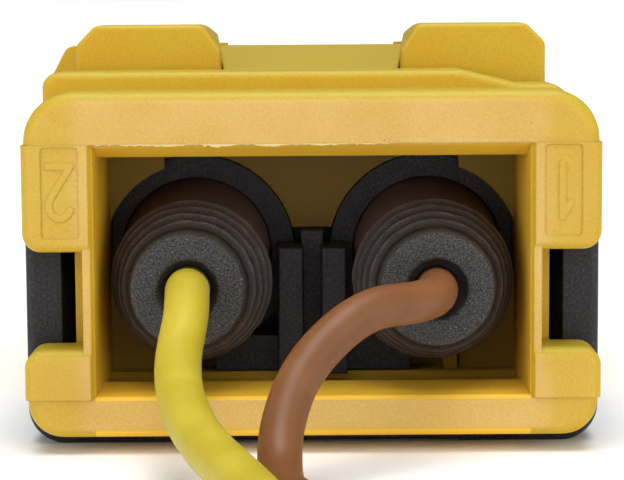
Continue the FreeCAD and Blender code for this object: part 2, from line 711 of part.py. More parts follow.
def inner_housing():
    """The black terminal housing: block, two round towers, web plates and foot."""
    half = BLOCK_W / 2
    block = rounded(-half, half, HOUSING_REAR, SEAT_START, BLOCK_Z0, BLOCK_Z1, 1.2)
    seat = rounded(
        -half + SEAT_STEP, half - SEAT_STEP, SEAT_START - 0.5, BLOCK_FRONT,
        BLOCK_Z0 + SEAT_STEP, BLOCK_Z1 - SEAT_STEP, 0.9,
    )
    root = HOUSING_REAR + LAP
    towers = both_sides(tower(0, MOUTH_END + FIT, root))
    web_y = REAR + WEB_DEPTH + FIT
    plates = both_sides(box(WEB_IN, WEB_OUT, web_y, root, FOOT_Z0, WEB_TOP))
    plates = [
        ease(p, 0.12, lambda q, e: q.y < web_y + 0.01) for p in plates
    ]
    rib_x = WEB_IN + 0.1
    rib = box(-rib_x, rib_x, web_y + 1.6, root, FOOT_Z0, WEB_TOP + WEB_RIB_RISE)
    foot = box(-FOOT_W / 2, FOOT_W / 2, REAR + FOOT_DEPTH, root, FOOT_Z0, FOOT_Z0 + FOOT_H)
    snaps = both_sides(
        side_prism(
            [
                (MOUTH_END + 3.1, BLOCK_Z1 - 0.1), (MOUTH_END + 3.1, BLOCK_Z1 + 0.1),
                (MOUTH_END + 4.4, BLOCK_Z1 + 0.6), (MOUTH_END + 4.5, BLOCK_Z1 - 0.1),
            ],
            5.6,
            7.4,
        )
    )
    pockets, tongues = lance_pocket()
    peg_hole = box(-1.3, 1.3, PEG_START, BLOCK_FRONT + 1, AXIS_Z - 2.1, AXIS_Z + 2.1)
    body = fuse(block, seat, *towers, *plates, rib, foot, *snaps)
    body = cut(body, *cavity(PITCH / 2), *cavity(-PITCH / 2), *pockets, peg_hole)
    return fuse(body, *tongues)


def front_retainer():
    """The cap that keeps the mating seal on and guides the blades into the contacts."""
    half = BLOCK_W / 2
    y0 = BLOCK_FRONT + FIT
    plate = rounded(-half, half, y0 - RETAINER_RIM, y0 + RETAINER_T, BLOCK_Z0, BLOCK_Z1, 1.2)
    plate = ease(plate, 0.35, lambda p, e: p.y > y0 + RETAINER_T - 0.01)
    hollow = rounded(
        -half + SEAT_STEP - FIT, half - SEAT_STEP + FIT, y0 - RETAINER_RIM - 1, y0,
        BLOCK_Z0 + SEAT_STEP - FIT, BLOCK_Z1 - SEAT_STEP + FIT, 0.85,
    )
    slots = []
    for sign in SIDES.values():
        x = sign * PITCH / 2
        slots.append(
            box(
                x - BLADE_W / 2, x + BLADE_W / 2, y0 - 1, y0 + RETAINER_T + 1,
                AXIS_Z - BLADE_H / 2, AXIS_Z + BLADE_H / 2,
            )
        )
        rim = 0.45
        wide = Part.makePolygon(
            [
                V(x + a * (BLADE_W / 2 + rim), y0 + RETAINER_T, AXIS_Z + b * (BLADE_H / 2 + rim))
                for a, b in ((-1, -1), (1, -1), (1, 1), (-1, 1), (-1, -1))
            ]
        )
        narrow = Part.makePolygon(
            [
                V(x + a * BLADE_W / 2, y0 + RETAINER_T - 0.8, AXIS_Z + b * BLADE_H / 2)
                for a, b in ((-1, -1), (1, -1), (1, 1), (-1, 1), (-1, -1))
            ]
        )
        slots.append(Part.makeLoft([wide, narrow], True, True))
    peg = box(-1.25, 1.25, PEG_START + 2 * RUN, y0 + 0.5, AXIS_Z - 2.05, AXIS_Z + 2.05)
    return fuse(cut(plate, hollow, *slots), peg)


# ---- seals ------------------------------------------------------------------------------------
def mating_seal():
    """The ring seal about the terminal housing, with three lips."""
    half = BLOCK_W / 2 - SEAT_STEP + FIT
    low = BLOCK_Z0 + SEAT_STEP - FIT
    high = BLOCK_Z1 - SEAT_STEP + FIT
    y0 = SEAT_START + FIT
    y1 = BLOCK_FRONT - RETAINER_RIM - FIT

    def ring(out, ya, yb):
        return rounded(-half - out, half + out, ya, yb, low - out, high + out, 0.85 + out)

    pitch = (y1 - y0) / 3
    lips = []
    for k in range(3):
        middle = y0 + (k + 0.5) * pitch
        lip = ring(SEAT_STEP + MATING_SEAL_RIB, middle - 0.45, middle + 0.45)
        lips.append(ease(lip, 0.4, lambda p, e: abs(p.y - middle) > 0.4))
    body = fuse(ring(SEAT_STEP - 0.1, y0, y1), *lips)
    return cut(body, rounded(-half, half, y0 - 1, y1 + 1, low, high, 0.85))


def turned(points, x, z):
    """A solid of revolution about a line along Y through x, z, from (y, radius) corners."""
    ring = [V(x + r, y, z) for y, r in points]
    ring = [V(x, points[0][0], z), *ring, V(x, points[-1][0], z)]
    face = Part.Face(Part.makePolygon(ring + ring[:1]))
    return face.revolve(V(x, 0, z), V(0, 1, 0), 360)


def stub_path(x):
    """Middle line of the lead inside its seal: the sagging end, the bend and the straight bore."""
    return [
        V(x, EXIT_Y, EXIT_Z), V(x, SEAL_BEND_Y, EXIT_Z),
        V(x, MOUTH_END, AXIS_Z), V(x, STRIP_Y, AXIS_Z),
    ]


def bent_rod(points, radius):
    """Round bars between the points, joined by balls."""
    pieces = [Part.makeSphere(radius, p) for p in points[1:-1]]
    pieces += [
        Part.makeCylinder(radius, (b - a).Length, a, b - a) for a, b in zip(points, points[1:])
    ]
    return fuse(*pieces)


def wire_seal(x, wire_d):
    """A ribbed rubber plug round the lead: sagging ribbed end, barrel in the bore, thin neck."""
    barrel = BORE_R - FIT
    ribs = [(SEAL_Y, SEAL_FACE_R - 0.15), (SEAL_Y + 0.15, SEAL_FACE_R)]
    for distance, radius in SEAL_RIBS:
        y = SEAL_Y + distance
        ribs += [
            (y - 0.45, radius - SEAL_GROOVE), (y - 0.2, radius - 0.03), (y, radius),
            (y + 0.15, radius - 0.05), (y + 0.27, radius - SEAL_GROOVE),
        ]
    neck_r = SEAL_RIBS[-1][1] - SEAL_GROOVE
    ribs.append((SEAL_BEND_Y, neck_r))
    bend = Part.makeLoft(
        [
            Part.Wire([Part.makeCircle(neck_r, V(x, SEAL_BEND_Y, EXIT_Z), V(0, 1, 0))]),
            Part.Wire([Part.makeCircle(barrel, V(x, MOUTH_END, AXIS_Z), V(0, 1, 0))]),
        ],
        True,
        True,
    )
    plug = [
        (MOUTH_END, barrel), (SEAL_END - 0.4, barrel), (SEAL_END - 0.1, barrel - 0.3),
        (SEAL_END - 0.1, SEAL_NECK_R), (SEAL_END + SEAL_NECK_LEN, SEAL_NECK_R),
    ]
    radius, depth = SEAL_COUNTERSINK
    sink = turned([(SEAL_Y, radius), (SEAL_Y + depth, wire_d / 2 + 0.1)], x, EXIT_Z)
    body = fuse(turned(ribs, x, EXIT_Z), bend, turned(plug, x, AXIS_Z))
    path = stub_path(x)
    path[0] = path[0] - V(0, 1, 0)
    path[-1] = path[-1] + V(0, 1, 0)
    return cut(body, bent_rod(path, wire_d / 2 + 0.02), sink)


# ---- contacts ---------------------------------------------------------------------------------
def contact(x):
    """A folded sheet contact: seal crimp, wire crimp, floor strip and blade box."""
    neck_r = SEAL_NECK_R + 0.02
    crimp = cut(
        rod(neck_r + SHEET, SEAL_END + 0.3, SEAL_END + SEAL_NECK_LEN - 0.3, x, AXIS_Z),
        rod(neck_r, SEAL_END, SEAL_END + SEAL_NECK_LEN, x, AXIS_Z),
        box(x - 0.12, x + 0.12, SEAL_END, SEAL_END + SEAL_NECK_LEN, AXIS_Z + 1, AXIS_Z + 3),
    )
    core_r = CORE_D / 2 + 0.02
    wire_y0 = STRIP_Y + 0.25
    wire_y1 = CAVITY_STEP_Y + 1.6
    wire_crimp = cut(
        rod(core_r + SHEET, wire_y0, wire_y1, x, AXIS_Z),
        rod(core_r, wire_y0 - 1, wire_y1 + 1, x, AXIS_Z),
        box(x - 0.06, x + 0.06, wire_y0 - 1, wire_y1 + 1, AXIS_Z, AXIS_Z + 2),
    )
    floor_z = AXIS_Z - BOX_H / 2
    strip = box(x - 0.9, x + 0.9, wire_y0, BOX_START + 0.3, floor_z, floor_z + SHEET)
    saddle = box(x - 0.35, x + 0.35, wire_y0, wire_y1, floor_z, AXIS_Z - core_r - 0.05)
    link = box(
        x - 0.6, x + 0.6, SEAL_END + SEAL_NECK_LEN - 0.9, wire_y0 + 0.2,
        AXIS_Z - neck_r - SHEET, AXIS_Z - neck_r,
    )
    post = box(
        x - 0.6, x + 0.6, wire_y0, wire_y0 + SHEET, AXIS_Z - neck_r - SHEET, floor_z + 0.1
    )
    inner_x = BOX_W / 2 - SHEET
    inner_z = BOX_H / 2 - SHEET
    blade_box = cut(
        rounded(
            x - BOX_W / 2, x + BOX_W / 2, BOX_START, BOX_END,
            AXIS_Z - BOX_H / 2, AXIS_Z + BOX_H / 2, 0.25,
        ),
        box(x - inner_x, x + inner_x, BOX_START - 1, BOX_END + 1, AXIS_Z - inner_z, AXIS_Z + inner_z),
    )
    tongue = side_prism(
        [
            (BOX_END - 0.6, AXIS_Z + inner_z + 0.1), (BOX_END - 0.6, AXIS_Z + inner_z - 0.15),
            (BOX_END - 3.6, AXIS_Z + 0.35), (BOX_START + 1.2, AXIS_Z + inner_z - 0.15),
            (BOX_START + 1.2, AXIS_Z + inner_z + 0.1), (BOX_END - 3.6, AXIS_Z + 0.65),
        ],
        x - 0.9,
        x + 0.9,
    )
    return fuse(crimp, wire_crimp, strip, saddle, link, post, blade_box, tongue)


def contact_spring(x):
    """The steel sleeve that backs up a contact's box."""
    gap = 0.02
    t = 0.2
    outer_x = BOX_W / 2 + gap + t
    outer_z = BOX_H / 2 + gap + t
    sleeve = rounded(
        x - outer_x, x + outer_x, BOX_START + 2.2, BOX_END - 1.2, AXIS_Z - outer_z, AXIS_Z + outer_z,
        0.4,
    )
    hole = rounded(
        x - BOX_W / 2 - gap, x + BOX_W / 2 + gap, BOX_START, BOX_END,
        AXIS_Z - BOX_H / 2 - gap, AXIS_Z + BOX_H / 2 + gap, 0.25,
    )
    seam = box(x - 0.1, x + 0.1, BOX_START, BOX_END, AXIS_Z - 3, AXIS_Z - 1)
    return cut(sleeve, hole, seam)


# ---- leads ------------------------------------------------------------------------------------
def coil_point(angle, radius, z):
    """A point of the coil, by its angle from +X about the coil's middle and its radius."""
    return (COIL_X + radius * math.cos(angle), COIL_Y + radius * math.sin(angle), z)


def rounded_path(points):
    """Straight runs joined by tangent arcs, and the radius of each arc."""
    p = [V(*q) for q in points]
    edges, radii = [], []
    at = p[0]
    for before, corner, after in zip(p, p[1:], p[2:]):
        a = (before - corner).normalize()
        b = (after - corner).normalize()
        turn = math.pi - a.getAngle(b)
        shorter = min((before - corner).Length, (after - corner).Length)
        back = 0.45 * shorter
        radius = back / math.tan(turn / 2)
        start = corner + a * back
        end = corner + b * back
        bisector = (a + b).normalize()
        middle = corner + bisector * (radius / math.cos(turn / 2) - radius)
        edges.append(Part.LineSegment(at, start).toShape())
        edges.append(Part.Arc(start, middle, end).toShape())
        radii.append(radius)
        at = end
    edges.append(Part.LineSegment(at, p[-1]).toShape())
    return Part.Wire(edges), radii


def tube(points, diameter, name):
    """A round bar along a rounded path, with its figures printed."""
    path, radii = rounded_path(points)
    start = path.Edges[0]
    along = start.tangentAt(start.FirstParameter)
    ring = Part.Wire(Part.makeCircle(diameter / 2, V(*points[0]), along))
    solid = path.makePipeShell([ring], True, False)
    expected = math.pi * diameter ** 2 / 4 * path.Length
    print(f"  {name}: length {path.Length:.1f}, radii {[round(r, 1) for r in radii]},"
          f" volume {solid.Volume / expected:.4f} of section times length")
    return solid


def lead_route(number):
    """The free stretch of a lead, brought on to the tangent of its coil's outer turn."""
    start = math.radians(COIL_START_DEG)
    touch = V(*coil_point(start, COIL_R, LAYER_Z[number]))
    return LEADS[number] + [tuple(touch)]


def coil_ring(number):
    """The room that one lead's turns take, a flat ring."""
    d = LEAD_D[number]
    middle = V(COIL_X, COIL_Y, LAYER_Z[number] - d / 2)
    inside = COIL_R - COIL_PITCH * COIL_TURNS - d / 2
    return Part.makeCylinder(COIL_R + d / 2, d, middle).cut(Part.makeCylinder(inside, d, middle))


def tail_points(number):
    """The lead's last centimetre, turning inwards off its coil."""
    end = COIL_START_DEG - 360 * COIL_TURNS
    radius = COIL_R - COIL_PITCH * COIL_TURNS
    steps = ((0, 0.3), (26, 1.5), (54, 3.0), (88, 4.2))
    return [
        coil_point(math.radians(end - angle), radius - inwards, LAYER_Z[number])
        for angle, inwards in steps
    ]


def save_lead(number):
    """One lead: the stub in the seal, the free stretch, its coil, its tail and its stripped end."""
    x = SIDES[number] * PITCH / 2
    d = LEAD_D[number]
    coil = coil_ring(number)
    stub = stub_path(x)
    save(f"lead_{number}_in_seal", bent_rod(stub, d / 2))
    save(f"lead_{number}_core", rod(CORE_D / 2, STRIP_Y, CAVITY_STEP_Y + 1.9, x, AXIS_Z))
    save(f"lead_{number}", tube(lead_route(number), d, f"lead {number}").cut(coil))
    save(f"lead_{number}_coil", coil)
    points = tail_points(number)
    save(f"lead_{number}_tail", tube(points, d, f"tail {number}").cut(coil))
    along = V(*points[-1]) - V(*points[-2])
    save(f"lead_{number}_strands", Part.makeCylinder(CORE_D / 2, STRIPPED, V(*points[-1]), along))


def main():
    os.makedirs("parts", exist_ok=True)
    save("outer_shell", outer_shell())
    save("latch_arm", latch_arm())
    save("secondary_lock", secondary_lock())
    save("inner_housing", inner_housing())
    save("front_retainer", front_retainer())
    save("mating_seal", mating_seal())
    for number, sign in SIDES.items():
        x = sign * PITCH / 2
        save(f"wire_seal_{number}", wire_seal(x, LEAD_D[number]))
        save(f"contact_{number}", contact(x))
        save(f"contact_spring_{number}", contact_spring(x))
        save_lead(number)


main()
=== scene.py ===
import math

import bmesh
import bpy
from mathutils import Matrix, Vector, noise


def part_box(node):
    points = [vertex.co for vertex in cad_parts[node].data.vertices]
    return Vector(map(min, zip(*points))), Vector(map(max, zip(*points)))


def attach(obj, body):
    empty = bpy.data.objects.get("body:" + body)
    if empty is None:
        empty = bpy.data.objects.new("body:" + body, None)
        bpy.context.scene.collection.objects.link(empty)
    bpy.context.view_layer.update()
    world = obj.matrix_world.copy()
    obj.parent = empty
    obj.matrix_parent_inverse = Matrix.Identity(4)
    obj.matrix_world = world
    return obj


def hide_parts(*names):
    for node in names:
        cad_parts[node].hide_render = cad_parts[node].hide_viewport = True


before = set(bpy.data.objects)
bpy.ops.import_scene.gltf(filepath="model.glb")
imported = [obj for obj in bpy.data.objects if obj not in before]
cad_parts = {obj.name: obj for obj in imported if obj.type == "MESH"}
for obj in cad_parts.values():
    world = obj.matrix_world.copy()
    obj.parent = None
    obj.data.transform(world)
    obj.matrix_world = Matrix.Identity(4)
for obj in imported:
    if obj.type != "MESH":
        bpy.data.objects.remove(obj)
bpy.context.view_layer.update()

# The view: a hand's width behind the connector's rear frame, just above its top and looking a
# little down into the mouth, as one holds a plug up to see its seals.
MM = 0.001
POST_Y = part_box("outer_shell")[0].y  # the posts beside the mouth are the shell's rearmost faces
VIEW_BACK = 90 * MM
VIEW_HEIGHT = 19.15 * MM
VIEW_DOWN = math.radians(6.34)
VIEW_ROLL = math.radians(-0.4)
SENSOR_WIDTH = 36  # millimetres, as is the lens
LENS = 124.6
NEAREST_SEEN = 5 * MM
scene = bpy.context.scene
camera_data = bpy.data.cameras.new("camera")
camera_data.sensor_width = SENSOR_WIDTH
camera_data.lens = LENS
camera_data.clip_start = NEAREST_SEEN
camera = bpy.data.objects.new("camera", camera_data)
scene.collection.objects.link(camera)
camera.matrix_world = (
    Matrix.Translation((0, POST_Y - VIEW_BACK, VIEW_HEIGHT))
    @ Matrix.Rotation(math.pi / 2 - VIEW_DOWN, 4, "X")
    @ Matrix.Rotation(VIEW_ROLL, 4, "Z")
)
scene.camera = camera


# Leads: two single-core automotive leads, stranded copper in soft PVC, brown in bore 1 and yellow
# in bore 2. They come straight out of their seals, droop, and lie wound in one small stacked coil.
LEAD_D = {"1": 1.75 * MM, "2": 1.9 * MM}
SIDES = {"1": 1, "2": -1}
CORE_LOW, CORE_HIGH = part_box("lead_1_core")
BORE_X = (CORE_LOW.x + CORE_HIGH.x) / 2
BORE_Z = (CORE_LOW.z + CORE_HIGH.z) / 2
SEAL_SAG = 0.72 * MM  # how far the lead's pull lowers its seal's free end
SEAL_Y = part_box("wire_seal_1")[0].y
EXIT_Z = BORE_Z - SEAL_SAG
LAYER_Z = {"1": LEAD_D["1"] / 2, "2": LEAD_D["1"] + LEAD_D["2"] / 2}
FREE_ROUTE_MM = {
    "1": [
        (5.25, -17.4, 6.85), (4.4, -18.7, 6.7), (2.06, -20.5, 6.75), (-0.35, -22.6, 4.85),
        (-1.3, -24.2, 2.65), (-1.3, -26.1, 0.875), (-0.9, -28.8, 0.875), (0.8, -32.4, 0.875),
        (3.2, -36.5, 0.875), (5.9, -40.6, 0.875),
    ],
    "2": [
        (-5.26, -17.3, 6.6), (-5.25, -18.6, 6.0), (-5.5, -20.9, 4.65), (-5.2, -23.6, 3.5),
        (-4.2, -26.9, 2.5), (-2.5, -30.6, 1.85), (-0.9, -35.0, 1.3), (2.0, -38.6, 2.3),
        (5.3, -41.7, 2.7),
    ],
}
COIL_X = 1.0 * MM
COIL_Y = -53.0 * MM
COIL_R = 11.5 * MM  # middle of the lead in its outermost turn
COIL_PITCH = 1.95 * MM
COIL_TURNS = 1.6
COIL_START = 48  # degrees, where the leads reach the outermost turn
COIL_STEP = 22.5
TAIL = ((26, 1.5), (54, 3.0), (88, 4.2))  # degrees beyond the coil, millimetres inwards


def coil_point(degrees, radius, z):
    angle = math.radians(degrees)
    return Vector((COIL_X + radius * math.cos(angle), COIL_Y + radius * math.sin(angle), z))


def lead_route(number):
    """The lead's points from its seal, along its free stretch, round its coil and into its tail."""
    points = [Vector((SIDES[number] * BORE_X, SEAL_Y, EXIT_Z))]
    points += [Vector(point) * MM for point in FREE_ROUTE_MM[number]]
    z = LAYER_Z[number]
    for step in range(round(COIL_TURNS * 360 / COIL_STEP) + 1):
        turned = step * COIL_STEP
        points.append(coil_point(COIL_START - turned, COIL_R - COIL_PITCH * turned / 360, z))
    last = COIL_START - COIL_TURNS * 360
    inner = COIL_R - COIL_PITCH * COIL_TURNS
    points += [coil_point(last - degrees, inner - inwards * MM, z) for degrees, inwards in TAIL]
    return points


def linear(code):
    """An sRGB hex colour as linear red, green, blue and alpha."""
    parts = [int(code[place:place + 2], 16) / 255 for place in (0, 2, 4)]
    return [*((p / 12.92 if p < 0.04045 else ((p + 0.055) / 1.055) ** 2.4) for p in parts), 1.0]


def add_node(tree, kind, inputs=None, **settings):
    """One shader node, its settings, and its inputs as values or as sockets to join."""
    node = tree.nodes.new("ShaderNode" + kind)
    for name, value in settings.items():
        setattr(node, name, value)
    for name, value in (inputs or {}).items():
        if isinstance(value, bpy.types.NodeSocket):
            tree.links.new(value, node.inputs[name])
        else:
            node.inputs[name].default_value = value
    return node


def start_material(name, roughness, specular=0.5):
    """A named material, its tree, its shader and the object coordinates that its patterns use."""
    material = bpy.data.materials.new(name)
    material.use_nodes = True
    tree = material.node_tree
    shader = tree.nodes["Principled BSDF"]
    shader.inputs["Roughness"].default_value = roughness
    shader.inputs["Specular IOR Level"].default_value = specular
    place = add_node(tree, "TexCoord").outputs["Object"]
    return material, tree, shader, place


def let_light_in(shader, weight, *depths_mm):
    """How much light a plastic lets in, and how deep its red, green and blue go."""
    shader.inputs["Subsurface Weight"].default_value = weight
    shader.inputs["Subsurface Radius"].default_value = [depth * MM for depth in depths_mm]
    shader.inputs["Subsurface Scale"].default_value = 1.0


# Soft PVC, extruded and satin: faintly mottled, with dust specks and a fine drawn skin.
def pvc(name, colour, worn, dust):
    material, tree, shader, place = start_material(name, roughness=0.44, specular=0.3)
    let_light_in(shader, 0.08, 0.5, 0.35, 0.2)
    mottle = add_node(tree, "TexNoise", {"Vector": place, "Scale": 1 / (1.6 * MM), "Detail": 4.0})
    tint = add_node(
        tree, "MapRange",
        {"Value": mottle.outputs["Fac"], "From Min": 0.4, "From Max": 0.66},
    )
    base = add_node(
        tree, "Mix",
        {"Factor": tint.outputs["Result"], "A": linear(colour), "B": linear(worn)},
        data_type="RGBA",
    )
    speck = add_node(tree, "TexNoise", {"Vector": place, "Scale": 1 / (0.2 * MM), "Detail": 1.0})
    speckle = add_node(
        tree, "MapRange",
        {"Value": speck.outputs["Fac"], "From Min": 0.76, "From Max": 0.82, "To Max": 0.55},
    )
    dusty = add_node(
        tree, "Mix",
        {
            "Factor": speckle.outputs["Result"], "A": base.outputs["Result"],
            "B": linear(dust),
        },
        data_type="RGBA",
    )
    tree.links.new(dusty.outputs["Result"], shader.inputs["Base Color"])
    skin = add_node(tree, "TexNoise", {"Vector": place, "Scale": 1 / (0.11 * MM), "Detail": 2.0})
    bump = add_node(
        tree, "Bump",
        {"Height": skin.outputs["Fac"], "Distance": 0.006 * MM, "Strength": 0.7},
    )
    tree.links.new(bump.outputs["Normal"], shader.inputs["Normal"])
    return material


LEAD_PVC = {
    "1": pvc("brown PVC insulation", "784C2C", "825434", "4A3324"),
    "2": pvc("yellow PVC insulation", "BAA82E", "C4B23A", "8F7A2C"),
}

# Bare copper, drawn and bunched: bright pink-brown with darker tarnish in patches.
COPPER, tree, shader, place = start_material("bare drawn copper", roughness=0.3)
shader.inputs["Metallic"].default_value = 1.0
tarnish = add_node(tree, "TexNoise", {"Vector": place, "Scale": 1 / (0.7 * MM), "Detail": 3.0})
copper_tint = add_node(
    tree, "Mix",
    {"Factor": tarnish.outputs["Fac"], "A": linear("E09A6E"), "B": linear("A8643C")},
    data_type="RGBA",
)
tree.links.new(copper_tint.outputs["Result"], shader.inputs["Base Color"])


SHARP_ANGLE = math.radians(38)  # edges turning more than this stay crisp


def finished_piece(form, name, material, body, slot, *stands_for):
    """Makes a bmesh a piece with its material, riding on its body in place of any CAD nodes."""
    for face in form.faces:
        face.smooth = True
    mesh = bpy.data.meshes.new(name)
    form.to_mesh(mesh)
    form.free()
    mesh.set_sharp_from_angle(angle=SHARP_ANGLE)
    mesh.materials.append(material)
    piece = bpy.data.objects.new(name, mesh)
    scene.collection.objects.link(piece)
    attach(piece, body)
    if stands_for:
        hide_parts(*stands_for)
    return piece


# Stripped ends: seven bunched copper strands with a lay, cut square and a little sprung open.
STRANDS = 7
STRAND_SIDES = 10
STRAND_D = 0.36 * MM
STRIPPED = 5.0 * MM
STRAND_LAY = 11 * MM
STRAND_STEPS = 18
STRAND_SPREAD = 0.12  # how far the outer strands spring open at the cut


def stripped_end(number):
    route = lead_route(number)
    form = bmesh.new()
    for strand in range(STRANDS):
        lean = Matrix.Identity(4) if strand == 0 else Matrix.Translation((STRAND_D, 0, 0))
        start = Matrix.Rotation(math.tau / (STRANDS - 1) * strand, 4, "Z") @ lean
        ring = bmesh.ops.create_circle(
            form, cap_ends=False, segments=STRAND_SIDES, radius=STRAND_D / 2, matrix=start
        )["verts"]
        edges = list({edge for vert in ring for edge in vert.link_edges})
        for step in range(STRAND_STEPS):
            made = bmesh.ops.extrude_edge_only(form, edges=edges)["geom"]
            ring = [part for part in made if isinstance(part, bmesh.types.BMVert)]
            edges = [part for part in made if isinstance(part, bmesh.types.BMEdge)]
            bmesh.ops.translate(form, verts=ring, vec=(0, 0, STRIPPED / STRAND_STEPS))
            bmesh.ops.rotate(
                form, verts=ring,
                matrix=Matrix.Rotation(math.tau * STRIPPED / STRAND_LAY / STRAND_STEPS, 3, "Z"),
            )
            if strand:
                middle = sum((vert.co for vert in ring), Vector()) / len(ring)
                # over all the steps the openings add up to the spread
                opening = 2 * STRAND_SPREAD * step / STRAND_STEPS ** 2
                outwards = (middle.x * opening, middle.y * opening, 0)
                bmesh.ops.translate(form, verts=ring, vec=outwards)
    ends = [edge for edge in form.edges if edge.is_boundary]
    bmesh.ops.holes_fill(form, edges=ends)
    bmesh.ops.recalc_face_normals(form, faces=form.faces)
    along = (route[-1] - route[-2]).normalized()
    place = Matrix.Translation(route[-1]) @ along.to_track_quat("Z", "Y").to_matrix().to_4x4()
    bmesh.ops.transform(form, matrix=place, verts=form.verts)
    return finished_piece(
        form, f"copper_strands_{number}", COPPER, "root", "copper_strands",
        f"lead_{number}_strands",
    )


def lead(number):
    curve = bpy.data.curves.new(f"insulated_lead_{number}", "CURVE")
    curve.dimensions = "3D"
    curve.bevel_depth = LEAD_D[number] / 2
    curve.bevel_resolution = 8
    curve.resolution_u = 10
    curve.render_resolution_u = 10
    curve.use_fill_caps = True
    route = lead_route(number)
    line = curve.splines.new("NURBS")
    line.points.add(len(route) - 1)
    for point, at in zip(line.points, route):
        point.co = (*at, 1)
    line.order_u = 3
    line.use_endpoint_u = True
    curve.materials.append(LEAD_PVC[number])
    piece = bpy.data.objects.new(f"insulated_lead_{number}", curve)
    scene.collection.objects.link(piece)
    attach(piece, "root")
    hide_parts(f"lead_{number}", f"lead_{number}_coil", f"lead_{number}_tail")
    stripped_end(number)


def finish_nodes(material, *names):
    """Gives CAD nodes their material."""
    for name in names:
        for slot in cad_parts[name].material_slots:
            slot.material = material


for number in SIDES:
    lead(number)
    finish_nodes(LEAD_PVC[number], f"lead_{number}_in_seal")
    finish_nodes(COPPER, f"lead_{number}_core")


# Outer shell: the yellow moulding that everything clips into, glass-filled PBT. Its rear face is
# spark-eroded and so dull, with a painted pale sheen where it faces straight back, less of it on
# the posts; the walls behind it are smoother and deeper in colour, with painted olive shade on
# faces turned upwards, and all of it carries small brown specks of scorched resin. Inside the mouth
# painted light makes the walls a bright orange yellow, and painted shade darkens the bulkhead at
# its back.
POST_PROUD = 0.08 * MM  # how far the posts beside the mouth stand out of the rear face
FLANGE_Y = POST_Y + POST_PROUD
MOUTH_X = 9.2 * MM
MOUTH_TOP = 13.3 * MM
BULKHEAD_Y = FLANGE_Y + 8.5 * MM
MOUTH_LIMITS = (MOUTH_X + 0.03 * MM, MOUTH_TOP, BULKHEAD_Y + 0.05 * MM)  # a hair into its walls
# Painted shade deepens towards the bulkhead over this span.
BULKHEAD_SHADE_Y = (BULKHEAD_Y - 3.2 * MM, BULKHEAD_Y - 0.2 * MM)  # none at the first, most at the second
# The rear face turns dull over this span and takes a painted pale sheen over the same span.
ERODED_SHEEN_Y = (FLANGE_Y + 0.9 * MM, FLANGE_Y + 0.6 * MM)  # smooth from the first, dull to the second
# The painted pale sheen is thin on the posts beside the mouth and full beyond them.
POST_SHEEN_X = (MOUTH_X + 1.1 * MM, MOUTH_X + 0.3 * MM)  # thin from the first, full to the second
SPECKS = ((0.62, 0.036, 0.80), (4.2, 0.075, 0.55))  # mm apart, mm in radius, share left out
SHELL_GRAIN = 0.1 * MM
SHELL_GRAIN_DEEP = 0.007 * MM
SMOOTH_ROUGHNESS = 0.44
ERODED_ROUGHNESS = 0.62
YELLOW = ("CAA024", "C6A62C")
# A pale tan painted as a sheen on faces turned straight back.
FACING_SHEEN = ("D0A858", "D6B164")
# An olive tint painted as shade on faces turned upwards.
TOP_SHADE_OLIVE = "B8A436"
SCORCHED = "6A4614"
# A bright orange yellow painted as light on the mouth's inner walls.
MOUTH_LIGHT = "EFBE38"
# A dark brown painted as shade on the bulkhead deep in the mouth.
BULKHEAD_SHADE = "3A2408"


